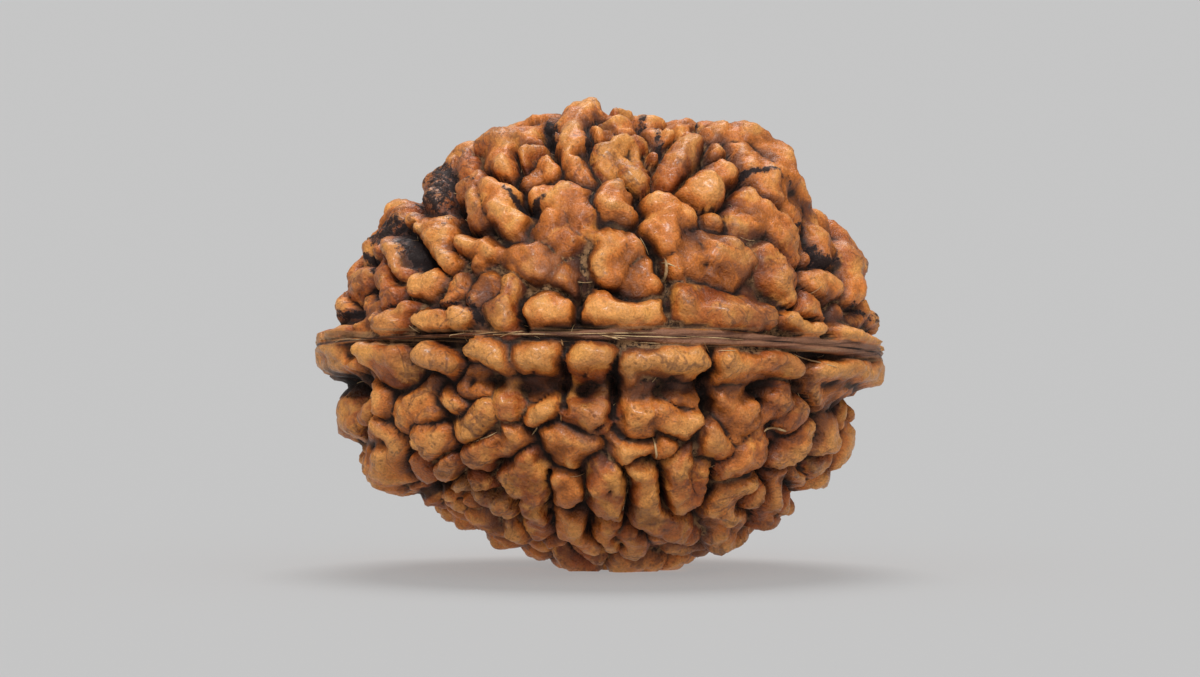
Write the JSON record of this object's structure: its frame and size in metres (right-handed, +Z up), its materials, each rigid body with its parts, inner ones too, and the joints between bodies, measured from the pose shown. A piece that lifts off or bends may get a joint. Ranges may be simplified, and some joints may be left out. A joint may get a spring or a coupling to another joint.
{
  "type": "rudraksha seed",
  "caption": "Dried rudraksha seed with plump worm-like knobs, deep narrow grooves and a raised seam from tip to tip, resting on a small flat.",
  "frame": {"origin": "on the plane the seed rests on, under the middle of its bounding box", "axes": "+X from the left tip of the seam to the right tip as seen from the front, -Y to the front, +Z up"},
  "size_m": [0.0228, 0.0206, 0.0189],
  "materials": {
    "seed_skin": "satin, warm brown hard shell with dark grooves"
  },
  "bodies": {
    "root": {"seed": "seed_skin"}
  },
  "joints": []
}
